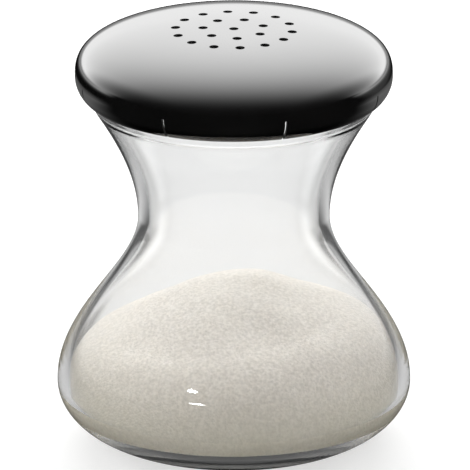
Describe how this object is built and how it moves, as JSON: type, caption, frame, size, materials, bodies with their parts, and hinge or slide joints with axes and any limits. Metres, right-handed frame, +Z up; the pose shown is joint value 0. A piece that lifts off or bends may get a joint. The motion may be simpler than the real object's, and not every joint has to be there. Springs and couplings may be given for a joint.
{
  "type": "salt shaker",
  "caption": "Waisted clear glass shaker with a round bulb and a domed push-on steel sprinkler cap, part filled with salt.",
  "frame": {"origin": "middle of the foot, on the plane that the shaker stands on", "axes": "+Z up along the shaker's axis; -Y is the front, where the picture was taken from; +X to the right as seen from the front"},
  "size_m": [0.053, 0.053, 0.0633],
  "materials": {
    "clear_glass": "polished",
    "polished_steel": "polished",
    "salt": "matte"
  },
  "bodies": {
    "body": {"glass_body": "clear_glass", "salt_fill": "salt"},
    "cap": {"sprinkler_cap": "polished_steel"}
  },
  "joints": [
    {"name": "cap_lift", "type": "slide", "parent": "body", "child": "cap", "axis": [0, 0, 1], "range_m": [0, 0.03]}
  ]
}
